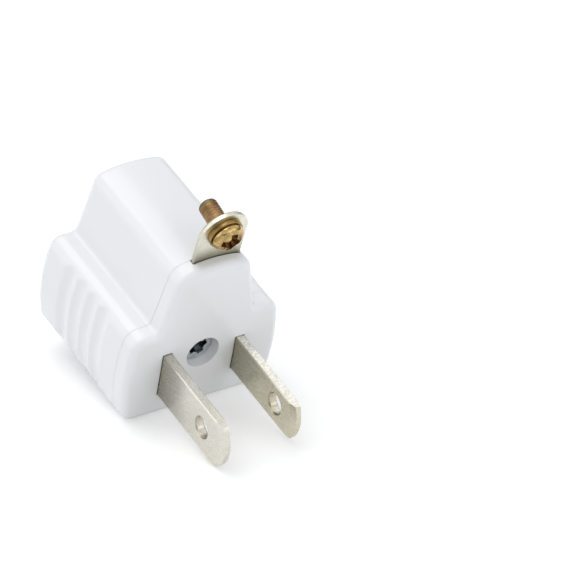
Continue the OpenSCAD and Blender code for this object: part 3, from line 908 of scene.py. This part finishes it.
# %% [markdown]
# ## Tools for the screws
# Both screws are turned and rolled parts: a domed head with a pressed cross recess, and
# a rolled thread. The head is lathed as rings and the cross is cut out of it. The thread
# is a cylinder of fine rings whose radius falls and rises with the angle and the height,
# which is exactly what a screw line is. Its end is rounded, with the small hollow that
# rolling leaves. Faces of the recess and of the thread's end get a finish of their own.

# %% Screw tools
def lathe_ring(radius, z, count=72):
    angles = 2 * math.pi * np.arange(count) / count
    return np.column_stack([radius * np.cos(angles), radius * np.sin(angles), np.full(count, z)])


def cross_outline(reach, share):
    arm = 0.54
    tip = reach * share
    half_arm = min(arm * (0.4 + 0.6 * share), tip * 0.9)
    heel = min(max(arm * 1.7 * share, half_arm * 1.02), tip * 0.95)
    corner = [(tip, half_arm), (heel, half_arm), (half_arm, heel), (half_arm, tip)]
    outline = []
    for turn in range(4):
        turned = Matrix.Rotation(math.radians(90 * turn), 2)
        outline += [tuple(turned @ Vector(point)) for point in corner]
    return outline


def head_mesh(radius, height, side, roundness, reach):
    rings = [lathe_ring(radius * 0.86, 0), lathe_ring(radius * 0.88, 0.15), lathe_ring(radius, 0.3)]
    # the dome stops just short of its pole, so that the last ring still has a size
    for step in range(17):
        angle = quarter * step / 16.3
        along = radius * math.cos(angle) ** roundness
        rings.append(lathe_ring(along, side + (height - side) * math.sin(angle)))
    depths = [(1.04, -0.5), (1.0, 0.3), (0.8, 0.75), (0.3, 1.3)]
    cross = []
    for share, depth in depths:
        cross.append([(x, y, height - depth) for x, y in cross_outline(reach, share)])
    mesh = combine(ring_mesh("head", rings), ring_mesh("cross", cross), "DIFFERENCE")
    for face in mesh.polygons:
        middle = face.center
        along = math.hypot(middle.x, middle.y)
        fall = max(0.0, 1 - min(along / radius, 1) ** (2 / roundness))
        skin = side + (height - side) * math.sqrt(fall)
        below_skin = middle.z < skin - 0.06
        # Faces in the cross recess take the second finish, a painted shade on both screws.
        face.material_index = int(middle.z > 0.2 and along < reach * 1.02 and below_skin)
    return mesh


def thread_mesh(radius, top, end, pitch, depth, point):
    count = 60
    angles = 2 * math.pi * np.arange(count) / count
    rings = []
    for z in np.arange(top, end, -pitch / 12):
        phase = (z / pitch - angles / (2 * math.pi)) % 1.0
        valley = np.clip((np.abs(2 * phase - 1) - 0.15) / 0.7, 0, 1)
        fall = 1 - min((z - end) / point, 1)
        rounded = radius - point * 0.9 * (1 - math.sqrt(1 - fall ** 2))
        outer = np.minimum(radius - depth * valley, rounded)
        level = np.full(count, z)
        rings.append(np.column_stack([outer * np.cos(angles), outer * np.sin(angles), level]))
    rim = radius - point * 0.9 - 0.05
    for share, lift in ((1.0, 0.0), (0.86, 0.0), (0.74, 0.12), (0.5, 0.2), (0.1, 0.22)):
        rings.append(lathe_ring(max(rim * share, 0.02), end + lift, count))
    mesh = ring_mesh("thread", rings)
    for face in mesh.polygons:
        face.material_index = 2 + int(face.center.z < end + point)
    return mesh


def join_meshes(first, second):
    work = bmesh.new()
    work.from_mesh(first)
    work.from_mesh(second)
    work.to_mesh(first)
    work.free()
    bpy.data.meshes.remove(second)
    return first


print("screw tools ready")

# %% [markdown]
# ## Ground lug
# The lug is punched from sheet. The punch draws the sheet's edge down on the side where
# it enters, so the edge is round towards the socket end and sharp towards the blades.
# Seen from the blades only the thin flat part of the edge catches the light. The outline
# is therefore stacked in layers, the first ones drawn in along a quarter circle, for the
# leaning sheet and for the strip inside the body alike.

# %% Ground lug
lug_lean = math.radians(10.5)
lug_reach = 5.45
bend_z = ridge_h + 0.05
bend_overlap = 0.4
edge_roll = 0.5
sheet_turn = math.radians(3)
lug_hole = (
    Matrix.Translation((lug_x, seam_y + lug_t / 2, bend_z))
    @ Matrix.Rotation(-lug_lean, 4, "X")
    @ Matrix.Rotation(sheet_turn, 4, "Y")
    @ Matrix.Translation((0, 0, lug_reach))
    @ Matrix.Rotation(-quarter, 4, "X")
)


def lug_outline(inset, z):
    radius = lug_width / 2 - inset
    foot = lug_reach + bend_overlap
    points = [(-radius, foot, z), (radius, foot, z)]
    for step in range(49):
        angle = -math.pi * step / 48
        points.append((radius * math.cos(angle), radius * math.sin(angle), z))
    return points


def strip_outline(inset, z):
    half = lug_width / 2 - inset
    y = seam_y + lug_t / 2 + z
    low = ground_z - strip_below
    corners = [(-half, low), (half, low), (half, bend_z), (-half, bend_z)]
    return [(lug_x + x, y, height) for x, height in corners]


layers = []
for step in range(9):
    angle = quarter * step / 8
    inset = edge_roll * (1 - math.sin(angle))
    layers.append((inset, edge_roll * (1 - math.cos(angle)) - lug_t / 2))
layers += [(0, lug_t / 2 - 0.05), (0.05, lug_t / 2)]
lug_mesh = ring_mesh("lug_sheet", [lug_outline(inset, z) for inset, z in layers])
lug_mesh.transform(lug_hole)
strip_mesh = ring_mesh("lug_strip", [strip_outline(inset, z) for inset, z in layers])
lug_mesh = combine(lug_mesh, strip_mesh, "UNION")
screw_up = 0.45
screw_hole_r = 1.56
rivet_hole_r = 0.95
screw_place = lug_hole @ Matrix.Translation((0, -screw_up, 0))
screw_way = ring_mesh("screw_way", [lathe_ring(screw_hole_r, -1), lathe_ring(screw_hole_r, 1)])
screw_way.transform(screw_place)
rivet_way = bar_tool((0, ground_z), rivet_hole_r, seam_y - 0.5, seam_y + lug_t + 0.5, 40)
lug_mesh = cut_all(lug_mesh, [screw_way, rivet_way])
lug = place("punched_ground_lug", lug_mesh, "lug", [lug_plating], 40, "ground_lug")
print("lug faces:", len(lug.data.polygons))

# %% [markdown]
# ## Washer
# A thick washer with a rounded rim sits between the screw's head and the lug. It is
# lathed like the head: the same quarter circle is used for its lower and its upper rim,
# and the hole is cut afterwards.

# %% Washer
washer_r = 2.75
washer_t = 0.75
washer_rim = 0.2
washer_hole_r = 1.62
steps = []
for step in range(7):
    angle = quarter * step / 6
    radius = washer_r - washer_rim * (1 - math.sin(angle))
    steps.append((radius, washer_rim * (1 - math.cos(angle))))
steps += [(radius, washer_t - z) for radius, z in reversed(steps)]
washer_mesh = ring_mesh("washer", [lathe_ring(radius, z) for radius, z in steps])
washer_way = ring_mesh("washer_way", [lathe_ring(washer_hole_r, -1), lathe_ring(washer_hole_r, 2)])
washer_mesh = combine(washer_mesh, washer_way, "DIFFERENCE")
washer_mesh.transform(screw_place @ Matrix.Translation((0, 0, lug_t / 2)))
washer = place("round_edged_washer", washer_mesh, "washer", [washer_gold], 40, "ground_washer")
print("washer, mm across:", 2 * washer_r, "thick:", washer_t)

# %% [markdown]
# ## Ground screw
# The screw sits on its washer, square to the leaning lug, with its thread standing out on
# the socket side. Head and thread are two solids in one piece, as the shaft runs up into
# the head; each part of the mesh has its own finish by the material index it was given.

# %% Ground screw
ground_head_r = 2.5
ground_head_h = 1.75
ground_thread_r = 1.5
ground_thread_out = 4.6
ground_pitch = 0.5
seat = lug_t / 2 + washer_t
ground_head = head_mesh(ground_head_r, ground_head_h, side=0.4, roundness=0.88, reach=1.7)
head_turn = Matrix.Rotation(math.radians(-10), 4, "Z")
ground_head.transform(Matrix.Translation((0, 0, seat)) @ head_turn)
thread_end = -(lug_t / 2 + ground_thread_out)
ground_thread = thread_mesh(ground_thread_r, seat + 0.3, thread_end, ground_pitch, 0.1, 0.75)
ground_mesh = join_meshes(ground_head, ground_thread)
ground_mesh.transform(screw_place)
place("threaded_ground_screw", ground_mesh, "ground_screw", ground_finishes, 40, "ground_screw")
print("ground screw head, mm across:", 2 * ground_head_r, "high:", ground_head_h)

# %% [markdown]
# ## Cover screw
# The long screw that holds the two mouldings together is seated at the bottom of its
# recess, and its tall head ends a little below the blade face. It comes out of the same
# tools as the ground screw, with its own sizes and a coarser thread.

# %% Cover screw
cover_head_r = 2.6
cover_head_h = 3.4
cover_thread_r = 1.25
cover_thread_l = 8.5
cover_pitch = 1.0
cover_head = head_mesh(cover_head_r, cover_head_h, side=2.8, roundness=0.8, reach=1.5)
cover_head.transform(Matrix.Rotation(math.radians(25), 4, "Z"))
cover_thread = thread_mesh(cover_thread_r, 0.3, -cover_thread_l, cover_pitch, 0.35, 1.0)
cover_screw_mesh = join_meshes(cover_head, cover_thread)
seat_place = Matrix.Translation((0, screw_seat_y, screw_z)) @ Matrix.Rotation(-quarter, 4, "X")
cover_screw_mesh.transform(seat_place)
place("threaded_cover_screw", cover_screw_mesh, "cover_screw", zinc_finishes, 40, "cover_screw")
print("cover screw head, mm across:", 2 * cover_head_r, "high:", cover_head_h)

# %% [markdown]
# ## Floor
# The adapter lies on white paper that keeps a soft shadow. More light would bleach the
# plastic along with the paper, so the paper instead gets a small glow of its own, for
# the camera's rays and for what the metal mirrors, and lights nothing.

# %% Floor
floor_reach = 4.0
floor_glow = 0.27
floor_corners = [(-1, -1), (1, -1), (1, 1), (-1, 1)]
floor_points = [(floor_reach * x, floor_reach * y, 0) for x, y in floor_corners]
floor_mesh = bpy.data.meshes.new("floor")
floor_mesh.from_pydata(floor_points, [], [(0, 1, 2, 3)])
floor = bpy.data.objects.new("floor", floor_mesh)
bpy.context.scene.collection.objects.link(floor)
floor_paper, tree, shader = new_finish("floor_paper")
shader.inputs["Base Color"].default_value = (0.86, 0.86, 0.86, 1)
shader.inputs["Roughness"].default_value = 0.9
shader.inputs["Specular IOR Level"].default_value = 0.1
rays = tree.nodes.new("ShaderNodeLightPath").outputs
seen = arithmetic(tree, "MAXIMUM", rays["Is Camera Ray"], rays["Is Glossy Ray"])
part = tree.nodes.new("ShaderNodeMath")
part.operation = "MULTIPLY"
part.inputs[1].default_value = floor_glow
tree.links.new(seen, part.inputs[0])
glow = tree.nodes.new("ShaderNodeEmission")
glow.inputs["Color"].default_value = (1, 1, 1, 1)
tree.links.new(part.outputs[0], glow.inputs["Strength"])
both = tree.nodes.new("ShaderNodeAddShader")
tree.links.new(shader.outputs["BSDF"], both.inputs[0])
tree.links.new(glow.outputs["Emission"], both.inputs[1])
tree.links.new(both.outputs["Shader"], tree.nodes["Material Output"].inputs["Surface"])
floor_mesh.materials.append(floor_paper)
print("floor, m across:", 2 * floor_reach)

# %% [markdown]
# ## World
# The background is plain white, and the shadows are filled by an even, faintly cool sky.
# Metal needs something to mirror, or it turns flat grey: its rays meet a room that is
# bright overhead and on one side and dim elsewhere. Which of the three a ray meets is
# chosen by the kind of ray.

# %% World
world = bpy.data.worlds.new("studio")
bpy.context.scene.world = world
world.use_nodes = True
tree = world.node_tree
tree.nodes.clear()


def background(colour, strength=1.0):
    sky = tree.nodes.new("ShaderNodeBackground")
    sky.inputs["Color"].default_value = (*colour, 1)
    sky.inputs["Strength"].default_value = strength
    return sky


def choose(share, first, second):
    mix = tree.nodes.new("ShaderNodeMixShader")
    tree.links.new(share, mix.inputs["Fac"])
    tree.links.new(first, mix.inputs[1])
    tree.links.new(second, mix.inputs[2])
    return mix.outputs[0]


ambient = background((0.95, 0.97, 1.0), 0.60)
white = background((1, 1, 1))
mirrored_room = background((1, 1, 1))
direction = tree.nodes.new("ShaderNodeTexCoord").outputs["Generated"]
overhead = spread(tree, one_axis(tree, direction, "Z"), 0.22, 1.0, 0.15, 0.5)
window_side = spread(tree, one_axis(tree, direction, "X"), 0.0, 0.8, 0.45, 0.8)
room = arithmetic(tree, "MAXIMUM", overhead, window_side)
tree.links.new(room, mirrored_room.inputs["Strength"])
rays = tree.nodes.new("ShaderNodeLightPath").outputs
seen = arithmetic(tree, "MAXIMUM", rays["Is Camera Ray"], rays["Is Transmission Ray"])
soft = choose(rays["Is Glossy Ray"], ambient.outputs[0], mirrored_room.outputs[0])
output = tree.nodes.new("ShaderNodeOutputWorld")
tree.links.new(choose(seen, soft, white.outputs[0]), output.inputs["Surface"])
print("world nodes:", len(tree.nodes))

# %% [markdown]
# ## Lights
# Three big soft lamps stand in for the softboxes: one above and behind, which rims the
# top, one from the side and one from the front, low, for the blade face. Suns with a
# very wide angle are used: they light every part of a small object evenly, and their
# shadows are as soft as a large box's.

# %% Lights
def softbox(name, direction, strength, angle):
    data = bpy.data.lights.new(name, "SUN")
    data.energy = strength
    data.angle = math.radians(angle)
    lamp = bpy.data.objects.new(name, data)
    lamp.rotation_euler = Vector(direction).to_track_quat("Z", "Y").to_euler()
    bpy.context.scene.collection.objects.link(lamp)


softbox("key_softbox", (0.15, -0.40, 1.0), 1.05, 50)
softbox("side_softbox", (1.0, -0.25, 0.22), 0.58, 60)
softbox("front_softbox", (-0.35, 1.0, 0.15), 0.84, 70)
bpy.context.scene.view_settings.view_transform = "Standard"
print("lamps:", len(bpy.data.lights))
